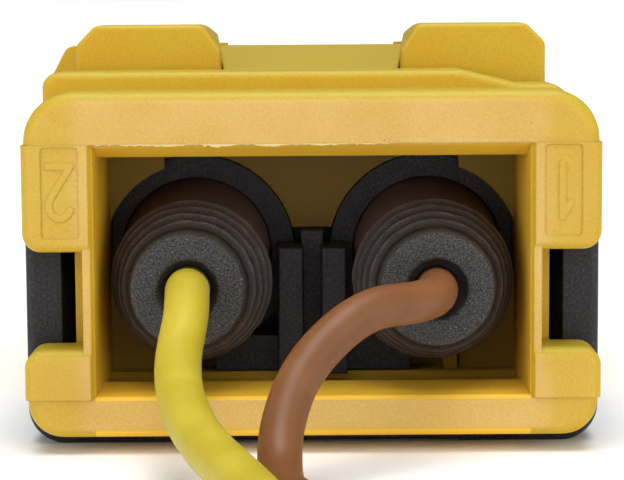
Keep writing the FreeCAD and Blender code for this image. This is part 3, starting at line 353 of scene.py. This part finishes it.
def yellow_pbt():
    material, tree, shader, place = start_material(
        "spark-eroded yellow PBT", roughness=SMOOTH_ROUGHNESS, specular=0.26
    )
    let_light_in(shader, 0.12, 0.9, 0.55, 0.15)
    across = add_node(tree, "SeparateXYZ", {"Vector": place})
    facing = add_node(
        tree, "SeparateXYZ", {"Vector": add_node(tree, "TexCoord").outputs["Normal"]}
    )
    rear_facing = add_node(
        tree, "MapRange",
        {"Value": facing.outputs["Y"], "From Min": -0.9, "From Max": -0.99},
    )
    near_rear = add_node(
        tree, "MapRange",
        {"Value": across.outputs["Y"], "From Min": ERODED_SHEEN_Y[0], "From Max": ERODED_SHEEN_Y[1]},
    )
    # This mask sets the rear face's dull roughness and also the share of painted pale sheen.
    eroded = add_node(
        tree, "Math",
        {0: rear_facing.outputs["Result"], 1: near_rear.outputs["Result"]},
        operation="MULTIPLY",
    )
    half_width = add_node(tree, "Math", {0: across.outputs["X"]}, operation="ABSOLUTE")
    off_posts = add_node(
        tree, "MapRange",
        {
            "Value": half_width.outputs["Value"], "From Min": POST_SHEEN_X[0], "From Max": POST_SHEEN_X[1],
            "To Min": 0.35,
        },
    )
    # Painted pale sheen: its share on faces turned straight back, less on the posts.
    sheen_share = add_node(
        tree, "Math", {0: eroded.outputs["Value"], 1: off_posts.outputs["Result"]},
        operation="MULTIPLY",
    )
    # Painted shade: faces turned upwards take the olive tint, up to three quarters.
    upward_shade = add_node(
        tree, "MapRange",
        {"Value": facing.outputs["Z"], "From Min": 0.1, "From Max": 0.6, "To Max": 0.75},
    )
    mottle = add_node(tree, "TexNoise", {"Vector": place, "Scale": 1 / (2.6 * MM), "Detail": 5.0})
    shade = add_node(
        tree, "MapRange", {"Value": mottle.outputs["Fac"], "From Min": 0.36, "From Max": 0.64}
    )
    body = add_node(
        tree, "Mix",
        {"Factor": shade.outputs["Result"], "A": linear(YELLOW[0]), "B": linear(YELLOW[1])},
        data_type="RGBA",
    )
    sheen_tone = add_node(
        tree, "Mix",
        {"Factor": shade.outputs["Result"], "A": linear(FACING_SHEEN[0]), "B": linear(FACING_SHEEN[1])},
        data_type="RGBA",
    )
    top_shaded = add_node(
        tree, "Mix",
        {"Factor": upward_shade.outputs["Result"], "A": body.outputs["Result"], "B": linear(TOP_SHADE_OLIVE)},
        data_type="RGBA",
    )
    faced = add_node(
        tree, "Mix",
        {
            "Factor": sheen_share.outputs["Value"], "A": top_shaded.outputs["Result"],
            "B": sheen_tone.outputs["Result"],
        },
        data_type="RGBA",
    )
    grain = add_node(tree, "TexNoise", {"Vector": place, "Scale": 1 / SHELL_GRAIN, "Detail": 2.0})
    fleck = add_node(
        tree, "MapRange",
        {
            "Value": grain.outputs["Fac"], "From Min": 0.3, "From Max": 0.7, "To Min": 0.93,
            "To Max": 1.06,
        },
    )
    surface = add_node(
        tree, "VectorMath",
        {0: faced.outputs["Result"], "Scale": fleck.outputs["Result"]},
        operation="SCALE",
    ).outputs["Vector"]
    for apart, radius, left_out in SPECKS:
        dots = add_node(tree, "TexVoronoi", {"Vector": place, "Scale": 1 / (apart * MM)})
        dot_size = add_node(
            tree, "MapRange",
            {
                "Value": dots.outputs["Distance"], "From Min": radius / apart,
                "From Max": radius / apart * 0.6, "To Max": 0.85,
            },
        )
        draw = add_node(tree, "SeparateColor", {"Color": dots.outputs["Color"]})
        chosen = add_node(
            tree, "Math", {0: draw.outputs["Red"], 1: left_out}, operation="GREATER_THAN"
        )
        speck = add_node(
            tree, "Math", {0: dot_size.outputs["Result"], 1: chosen.outputs["Value"]},
            operation="MULTIPLY",
        )
        surface = add_node(
            tree, "Mix",
            {"Factor": speck.outputs["Value"], "A": surface, "B": linear(SCORCHED)},
            data_type="RGBA",
        ).outputs["Result"]
    inside = 1.0
    measures = half_width.outputs["Value"], across.outputs["Z"], across.outputs["Y"]
    for measure, limit in zip(measures, MOUTH_LIMITS):
        within = add_node(tree, "Math", {0: measure, 1: limit}, operation="LESS_THAN")
        inside = add_node(
            tree, "Math", {0: within.outputs["Value"], 1: inside}, operation="MULTIPLY"
        ).outputs["Value"]
    # Painted light: inside the mouth, faces not turned straight back brighten to orange yellow.
    mouth_lit = add_node(
        tree, "Math", {0: inside, 1: rear_facing.outputs["Result"]}, operation="SUBTRACT",
        use_clamp=True,
    )
    surface = add_node(
        tree, "Mix", {"Factor": mouth_lit.outputs["Value"], "A": surface, "B": linear(MOUTH_LIGHT)},
        data_type="RGBA",
    ).outputs["Result"]
    # Painted shade: inside the mouth, dark brown deepening towards the bulkhead.
    at_back = add_node(
        tree, "MapRange",
        {
            "Value": across.outputs["Y"], "From Min": BULKHEAD_SHADE_Y[0], "From Max": BULKHEAD_SHADE_Y[1],
            "To Max": 0.72,
        },
    )
    bulkhead_shade = add_node(
        tree, "Math", {0: inside, 1: at_back.outputs["Result"]}, operation="MULTIPLY"
    )
    surface = add_node(
        tree, "Mix", {"Factor": bulkhead_shade.outputs["Value"], "A": surface, "B": linear(BULKHEAD_SHADE)},
        data_type="RGBA",
    ).outputs["Result"]
    tree.links.new(surface, shader.inputs["Base Color"])
    rough = add_node(
        tree, "MapRange",
        {
            "Value": eroded.outputs["Value"], "To Min": SMOOTH_ROUGHNESS,
            "To Max": ERODED_ROUGHNESS,
        },
    )
    tree.links.new(rough.outputs["Result"], shader.inputs["Roughness"])
    soft_edge = add_node(tree, "Bevel", {"Radius": 0.12 * MM}, samples=4)
    bump = add_node(
        tree, "Bump",
        {
            "Height": grain.outputs["Fac"], "Distance": SHELL_GRAIN_DEEP, "Strength": 0.8,
            "Normal": soft_edge.outputs["Normal"],
        },
    )
    tree.links.new(bump.outputs["Normal"], shader.inputs["Normal"])
    return material


finish_nodes(yellow_pbt(), "outer_shell", "latch_arm")

# A ragged fin of flash, where the mould's halves didn't quite close, hangs from the mouth's top
# edge over its left two thirds. It is a few hundredths thick and pale, as thin resin is.
FLASH_X = (-9.0 * MM, 3.4 * MM)
FLASH_Z = 13.19 * MM
FLASH_T = 0.035 * MM
FLASH_STEPS = 150
FLASH_TAPER = 1.5 * MM  # the length over which it runs out at each end
FLASH_HANG = 0.05 * MM
FLASH_LEAST = 0.01 * MM
LONG_WAVES = (0.9, 3.0, 0.13 * MM)  # how many to a millimetre, where the noise is read, how deep
FINE_WAVES = (5.5, 9.0, 0.08 * MM)
FLASH_CURL = 0.05 * MM
form = bmesh.new()
root = [
    form.verts.new((FLASH_X[0] + (FLASH_X[1] - FLASH_X[0]) * step / FLASH_STEPS, FLANGE_Y, FLASH_Z))
    for step in range(FLASH_STEPS + 1)
]
root_edges = [form.edges.new(pair) for pair in zip(root, root[1:])]
made = bmesh.ops.extrude_edge_only(form, edges=root_edges)["geom"]
for vert in (part for part in made if isinstance(part, bmesh.types.BMVert)):
    long, fine = (
        noise.noise(Vector((vert.co.x / MM * rate, read_at, 0.0)))
        for rate, read_at, _ in (LONG_WAVES, FINE_WAVES)
    )
    taper = min(1, min(vert.co.x - FLASH_X[0], FLASH_X[1] - vert.co.x) / FLASH_TAPER)
    hang = FLASH_HANG + LONG_WAVES[2] * long + FINE_WAVES[2] * fine
    vert.co.z -= taper * max(FLASH_LEAST, hang)
    vert.co.y += FLASH_CURL * fine
bmesh.ops.recalc_face_normals(form, faces=form.faces)
bmesh.ops.solidify(form, geom=form.faces[:] + form.edges[:] + form.verts[:], thickness=FLASH_T)
bmesh.ops.recalc_face_normals(form, faces=form.faces)
FLASH_PBT, tree, shader, place = start_material(
    "thin yellow PBT flash", roughness=0.5, specular=0.3
)
let_light_in(shader, 0.3, 0.5, 0.35, 0.12)
thin = add_node(tree, "TexNoise", {"Vector": place, "Scale": 1 / (0.5 * MM), "Detail": 3.0})
thin_tint = add_node(
    tree, "Mix", {"Factor": thin.outputs["Fac"], "A": linear("E0C070"), "B": linear("F0DCA4")},
    data_type="RGBA",
)
tree.links.new(thin_tint.outputs["Result"], shader.inputs["Base Color"])
finished_piece(form, "mould_flash", FLASH_PBT, "root", "yellow_shell")


# Terminal housing, secondary lock and front retainer: black glass-filled PBT, with a fine dull
# grain in which glass shows grey, and a bluish satin where it is smooth.
def black_pbt(name, dark, grey, roughness):
    material, tree, shader, place = start_material(name, roughness, specular=0.4)
    grain = add_node(tree, "TexNoise", {"Vector": place, "Scale": 1 / (0.12 * MM), "Detail": 3.0})
    glass = add_node(
        tree, "MapRange", {"Value": grain.outputs["Fac"], "From Min": 0.42, "From Max": 0.72}
    )
    cloud = add_node(tree, "TexNoise", {"Vector": place, "Scale": 1 / (1.9 * MM), "Detail": 4.0})
    amount = add_node(
        tree, "Math", {0: glass.outputs["Result"], 1: cloud.outputs["Fac"]}, operation="MULTIPLY"
    )
    base = add_node(
        tree, "Mix",
        {"Factor": amount.outputs["Value"], "A": linear(dark), "B": linear(grey)},
        data_type="RGBA",
    )
    tree.links.new(base.outputs["Result"], shader.inputs["Base Color"])
    soft_edge = add_node(tree, "Bevel", {"Radius": 0.09 * MM}, samples=4)
    bump = add_node(
        tree, "Bump",
        {
            "Height": grain.outputs["Fac"], "Distance": 0.008 * MM, "Strength": 0.8,
            "Normal": soft_edge.outputs["Normal"],
        },
    )
    tree.links.new(bump.outputs["Normal"], shader.inputs["Normal"])
    return material


finish_nodes(
    black_pbt("black PBT housing", "14111B", "454352", roughness=0.5),
    "inner_housing", "front_retainer",
)
finish_nodes(black_pbt("black PBT lock", "151216", "474448", roughness=0.55), "secondary_lock")


# Wire seals: soft silicone plugs pushed over each lead into its bore. The free end is ribbed and
# hangs with its lead; the rubber is dull, grey with fine dust, and ochre dust fills its grooves,
# whose bottoms are darkened with painted shade.
SEAL_SEGMENTS = 144
TOWER_Y = BULKHEAD_Y  # the housing's towers end level with the shell's bulkhead
SEAL_BEND_Y = SEAL_Y + 4.2 * MM
SEAL_END_Y = SEAL_Y + 10.2 * MM
NECK_END_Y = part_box("wire_seal_1")[1].y
BARREL_R = 3.4 * MM
NECK_R = 1.95 * MM
FACE_R = 2.42 * MM
RIBS = ((1.3, 2.88), (2.05, 3.12), (2.8, 3.34), (3.6, 3.55))  # millimetres from the face, radius
RIB_SECTION = (  # millimetres along from a rib's crest, and millimetres below it
    (-0.47, 0.3), (-0.36, 0.285), (-0.24, 0.11), (-0.16, 0.04), (-0.08, 0.01), (0.0, 0.0),
    (0.1, 0.03), (0.17, 0.1), (0.22, 0.285),
)
# Painted shade darkens the groove bottoms, where ochre dust also gathers, over this span.
GROOVE_SHADE_AND_DUST = (-0.42, 0.096, 0.256)  # millimetres from a crest; then full within, none beyond
# Crests carry a painted highlight, partly rubbed wear, over this span.
CREST_HIGHLIGHT_AND_WEAR = (0.0, 0.065, 0.195)
SINK_R = 1.32 * MM  # the dished middle of the face
SINK_DEEP = 0.7 * MM
# The dished middle of each seal's face gets painted shade, fading out between the radii below,
# heavier at the upper right than at the lower left.
SINK_FADE = (SINK_R - 0.04 * MM, SINK_R + 0.06 * MM)
SINK_LEAST = 0.25  # its share of dark at the lower left, against 1 at the upper right
WAVES = (5, 0.8, 0.03 * MM)  # round the seal, along it to a millimetre, and how deep
NICKS = (31, 6, 0.09 * MM)
NICK_FROM = 0.42  # the noise from which the rubber is nicked
NICK_ZERO = 0.3  # the noise at which a nick would have no depth


def seal_outline(lead_radius):
    """(y, radius) round one half of the seal's section, from its hole out and back."""
    hole = lead_radius + 0.02 * MM
    outline = [
        (SEAL_Y + 0.8 * MM, hole), (SEAL_Y + 0.55 * MM, hole + 0.12 * MM),
        (SEAL_Y + 0.42 * MM, SINK_R - 0.16 * MM), (SEAL_Y + 0.2 * MM, SINK_R - 0.1 * MM),
        (SEAL_Y + 0.05 * MM, SINK_R - 0.03 * MM), (SEAL_Y, SINK_R + 0.06 * MM),
        (SEAL_Y, SINK_R + 0.25 * MM), (SEAL_Y, SINK_R + 0.45 * MM), (SEAL_Y, FACE_R - 0.3 * MM),
        (SEAL_Y, FACE_R - 0.12 * MM), (SEAL_Y + 0.05 * MM, FACE_R - 0.03 * MM),
        (SEAL_Y + 0.15 * MM, FACE_R + 0.01 * MM),
    ]
    for distance, radius in RIBS:
        outline += [
            (SEAL_Y + (distance + along) * MM, (radius - below) * MM)
            for along, below in RIB_SECTION
        ]
    waist = (RIBS[-1][1] - RIB_SECTION[0][1]) * MM
    outline += [
        (SEAL_BEND_Y, waist), ((SEAL_BEND_Y + TOWER_Y) / 2, (waist + BARREL_R) / 2),
        (TOWER_Y, BARREL_R), (SEAL_END_Y - 0.4 * MM, BARREL_R),
        (SEAL_END_Y - 0.1 * MM, BARREL_R - 0.3 * MM), (SEAL_END_Y - 0.1 * MM, NECK_R),
        (NECK_END_Y, NECK_R), (NECK_END_Y, hole), (TOWER_Y, hole), (SEAL_BEND_Y, hole),
    ]
    return outline


def droop(y):
    """How far the lead's pull lowers the seal at y."""
    return SEAL_SAG * min(1, max(0, (TOWER_Y - y) / (TOWER_Y - SEAL_BEND_Y)))


def tone(y, from_crest, full, none):
    """1 within `full` of a place that lies beside every rib's crest, falling to 0 at `none`."""
    nearest = min(abs(y - SEAL_Y - (distance + from_crest) * MM) for distance, _ in RIBS)
    return min(1, max(0, (none * MM - nearest) / ((none - full) * MM)))


def wire_seal(number):
    x = SIDES[number] * BORE_X
    form = bmesh.new()
    verts = [form.verts.new((x, y, BORE_Z + r)) for y, r in seal_outline(LEAD_D[number] / 2)]
    edges = [form.edges.new(pair) for pair in zip(verts, verts[1:] + verts[:1])]
    bmesh.ops.spin(
        form, geom=verts + edges, cent=(x, 0, BORE_Z), axis=(0, 1, 0), angle=math.tau,
        steps=SEAL_SEGMENTS, use_merge=True,
    )
    bmesh.ops.recalc_face_normals(form, faces=form.faces)
    groove = form.verts.layers.float.new("groove")
    crest = form.verts.layers.float.new("crest")
    sink = form.verts.layers.float.new("sink")
    for vert in form.verts:
        out = Vector((vert.co.x - x, 0, vert.co.z - BORE_Z))
        radius = out.length
        out.normalize()
        if vert.co.y < TOWER_Y - 0.5 * MM and radius > LEAD_D[number] / 2 + 0.1 * MM:
            round_it, along_it, deep = WAVES
            along = vert.co.y / MM * along_it
            shift = SIDES[number] * 7  # so that the two seals differ
            wave = noise.noise(Vector((out.x * round_it, along, out.z * round_it + shift)))
            vert.co += out * wave * deep
            round_it, along_it, deep = NICKS
            along = vert.co.y / MM * along_it
            nick = noise.noise(Vector((out.x * round_it, along, out.z * round_it)))
            if radius > FACE_R and nick > NICK_FROM:
                vert.co -= out * deep * (nick - NICK_ZERO)
        # Painted shade and ochre dust go in the grooves, a painted highlight and rubbed wear on the
        # crests.
        if radius > FACE_R - 0.05 * MM and vert.co.y < SEAL_BEND_Y:
            vert[groove] = tone(vert.co.y, *GROOVE_SHADE_AND_DUST)
            vert[crest] = tone(vert.co.y, *CREST_HIGHLIGHT_AND_WEAR)
        # Painted shade for the dished middle of the face, heavier at the upper right.
        elif vert.co.y < SEAL_Y + SINK_DEEP:
            upper_right = 0.5 + 0.5 * (out.x + out.z) / math.sqrt(2)
            middle, edge = SINK_FADE
            dished = min(1, max(0, (edge - radius) / (edge - middle)))
            vert[sink] = dished * (SINK_LEAST + (1 - SINK_LEAST) * upper_right)
        vert.co.z -= droop(vert.co.y)
    return finished_piece(
        form, f"ribbed_wire_seal_{number}", SILICONE, "root", "seal_rubber", f"wire_seal_{number}"
    )


# Moulded silicone: a dull dark grey skin with a fine grain and pale dust that catches the light.
# Rib crests carry a painted highlight and are rubbed paler, painted shade darkens the groove
# bottoms and the dished middle of the face, ochre dust fills the grooves, and the barrel has aged
# to brown.
FACE_EDGE_Y = (SEAL_Y + 0.12 * MM, SEAL_Y + 0.5 * MM)
BARREL_Y = (SEAL_Y + 3.0 * MM, SEAL_Y + 4.8 * MM)
SILICONE, tree, shader, place = start_material(
    "dusty silicone rubber", roughness=0.62, specular=0.3
)
grain = add_node(
    tree, "TexNoise",
    {"Vector": place, "Scale": 1 / (0.07 * MM), "Detail": 5.0, "Roughness": 0.75},
)
pale = add_node(
    tree, "MapRange", {"Value": grain.outputs["Fac"], "From Min": 0.42, "From Max": 0.64}
)
rubber = add_node(
    tree, "Mix",
    {"Factor": pale.outputs["Result"], "A": linear("111011"), "B": linear("5C5A5A")},
    data_type="RGBA",
)
spark = add_node(tree, "TexNoise", {"Vector": place, "Scale": 1 / (0.06 * MM), "Detail": 0.0})
sparkle = add_node(
    tree, "MapRange", {"Value": spark.outputs["Fac"], "From Min": 0.78, "From Max": 0.84}
)
dusted = add_node(
    tree, "Mix",
    {"Factor": sparkle.outputs["Result"], "A": rubber.outputs["Result"], "B": linear("9A9894")},
    data_type="RGBA",
)
# Painted shade darkens the dished middle of the face.
smooth_sink = add_node(tree, "Attribute", attribute_name="sink")
sink_shaded = add_node(
    tree, "Mix",
    {"Factor": smooth_sink.outputs["Fac"], "A": dusted.outputs["Result"], "B": linear("1C1A1B")},
    data_type="RGBA",
)
depth = add_node(tree, "SeparateXYZ", {"Vector": place})
behind_face = add_node(
    tree, "MapRange",
    {
        "Value": depth.outputs["Y"], "From Min": FACE_EDGE_Y[0], "From Max": FACE_EDGE_Y[1],
        "To Max": 0.32,
    },
)
ribbed = add_node(
    tree, "Mix",
    {"Factor": behind_face.outputs["Result"], "A": sink_shaded.outputs["Result"], "B": linear("54484E")},
    data_type="RGBA",
)
patchy = add_node(tree, "TexNoise", {"Vector": place, "Scale": 1 / (0.9 * MM), "Detail": 4.0})
patches = add_node(
    tree, "MapRange", {"Value": patchy.outputs["Fac"], "From Min": 0.35, "From Max": 0.65}
)
# Painted shade darkens the groove bottoms.
groove_bottom_shade = add_node(tree, "Attribute", attribute_name="groove")
surface = add_node(
    tree, "Mix",
    {
        "Factor": groove_bottom_shade.outputs["Fac"], "A": ribbed.outputs["Result"],
        "B": linear("0C0A0B"),
    },
    data_type="RGBA",
).outputs["Result"]
# Crests take a painted highlight mixed with rubbed wear; grooves take ochre dust.
for attribute, tint, most in (("crest", "9A9496", 0.6), ("groove", "4A3818", 0.3)):
    where = add_node(tree, "Attribute", attribute_name=attribute)
    share = add_node(
        tree, "Math", {0: where.outputs["Fac"], 1: patches.outputs["Result"]}, operation="MULTIPLY"
    )
    speckled_share = add_node(
        tree, "MapRange", {"Value": pale.outputs["Result"], "To Min": most * 0.3, "To Max": most}
    )
    amount = add_node(
        tree, "Math", {0: share.outputs["Value"], 1: speckled_share.outputs["Result"]},
        operation="MULTIPLY",
    )
    surface = add_node(
        tree, "Mix", {"Factor": amount.outputs["Value"], "A": surface, "B": linear(tint)},
        data_type="RGBA",
    ).outputs["Result"]
on_barrel = add_node(
    tree, "MapRange",
    {
        "Value": depth.outputs["Y"], "From Min": BARREL_Y[0], "From Max": BARREL_Y[1],
        "To Max": 0.85,
    },
)
aged = add_node(
    tree, "Mix",
    {"Factor": on_barrel.outputs["Result"], "A": surface, "B": linear("5C4644")},
    data_type="RGBA",
)
tree.links.new(aged.outputs["Result"], shader.inputs["Base Color"])
bump = add_node(
    tree, "Bump", {"Height": grain.outputs["Fac"], "Distance": 0.014 * MM, "Strength": 0.9}
)
tree.links.new(bump.outputs["Normal"], shader.inputs["Normal"])
for number in SIDES:
    wire_seal(number)
finish_nodes(SILICONE, "mating_seal")


# Contacts: stamped and folded tin-plated copper alloy, with the marks of rolling along the strip,
# and a bright stainless spring in each box.
ROLLED_ALONG = 0.08  # the marks are a dozen times as long as they are wide


def strip_metal(name, light, dark, roughness):
    material, tree, shader, place = start_material(name, roughness)
    shader.inputs["Metallic"].default_value = 1.0
    stretch = add_node(tree, "Mapping", {"Vector": place, "Scale": (1.0, ROLLED_ALONG, 1.0)})
    rolled = add_node(
        tree, "TexNoise",
        {"Vector": stretch.outputs["Vector"], "Scale": 1 / (0.15 * MM), "Detail": 4.0},
    )
    tint = add_node(
        tree, "Mix",
        {"Factor": rolled.outputs["Fac"], "A": linear(light), "B": linear(dark)},
        data_type="RGBA",
    )
    tree.links.new(tint.outputs["Result"], shader.inputs["Base Color"])
    bump = add_node(
        tree, "Bump", {"Height": rolled.outputs["Fac"], "Distance": 0.004 * MM, "Strength": 0.6}
    )
    tree.links.new(bump.outputs["Normal"], shader.inputs["Normal"])
    return material


finish_nodes(
    strip_metal("rolled tin plate", "D9D7CF", "A9A69C", roughness=0.34), "contact_1", "contact_2"
)
finish_nodes(
    strip_metal("rolled stainless strip", "C9CBCC", "95989A", roughness=0.25),
    "contact_spring_1", "contact_spring_2",
)


# The place: a plain white floor and broad soft lights, as in a light tent. The tent is bright just
# above the floor's far edge, so that the two run into each other.
FLOOR_HALF = 60.0  # metres
form = bmesh.new()
bmesh.ops.create_grid(form, x_segments=1, y_segments=1, size=FLOOR_HALF)
floor_mesh = bpy.data.meshes.new("floor")
form.to_mesh(floor_mesh)
form.free()
paper, tree, shader, place = start_material("matt white paper", roughness=0.9, specular=0.2)
fibre = add_node(tree, "TexNoise", {"Vector": place, "Scale": 1 / (0.6 * MM), "Detail": 3.0})
white = add_node(
    tree, "Mix", {"Factor": fibre.outputs["Fac"], "A": linear("FBFBFB"), "B": linear("FEFEFE")},
    data_type="RGBA",
)
tree.links.new(white.outputs["Result"], shader.inputs["Base Color"])
floor_mesh.materials.append(paper)
floor = bpy.data.objects.new("floor", floor_mesh)
scene.collection.objects.link(floor)

world = bpy.data.worlds.new("light_tent")
world.use_nodes = True
tent = world.node_tree.nodes["Background"]
level = add_node(
    world.node_tree, "SeparateXYZ",
    {"Vector": add_node(world.node_tree, "TexCoord").outputs["Generated"]},
)
skyline = add_node(
    world.node_tree, "MapRange",
    {
        "Value": level.outputs["Z"], "From Min": 0.015, "From Max": 0.05, "To Min": 1.0,
        "To Max": 0.2,
    },
)
tent.inputs["Color"].default_value = (1.0, 1.0, 1.0, 1.0)
world.node_tree.links.new(skyline.outputs["Result"], tent.inputs["Strength"])
scene.world = world
scene.view_settings.view_transform = "Standard"

# The key comes over the viewer's shoulder, steeper than the mouth's ceiling lets in, so the seals'
# faces are lit and the bulkhead stays dark; broad lamps at both sides light the mouth's walls, and
# the top lamp whitens the floor.
LAMPS = {  # direction in which the light travels, strength, softness in degrees
    "key": ((-0.05, 0.78, -0.62), 0.46, 40),
    "front": ((0.0, 1.0, -0.1), 0.2, 100),
    "left": ((0.78, 0.6, -0.2), 1.12, 50),
    "right": ((-0.78, 0.6, -0.2), 1.12, 50),
    "top": ((0.0, 0.12, -0.99), 2.4, 40),
}
for name, (travel, strength, softness) in LAMPS.items():
    lamp = bpy.data.lights.new(name, "SUN")
    lamp.energy = strength
    lamp.angle = math.radians(softness)
    light = bpy.data.objects.new(name, lamp)
    light.rotation_euler = Vector(travel).to_track_quat("-Z", "Y").to_euler()
    scene.collection.objects.link(light)
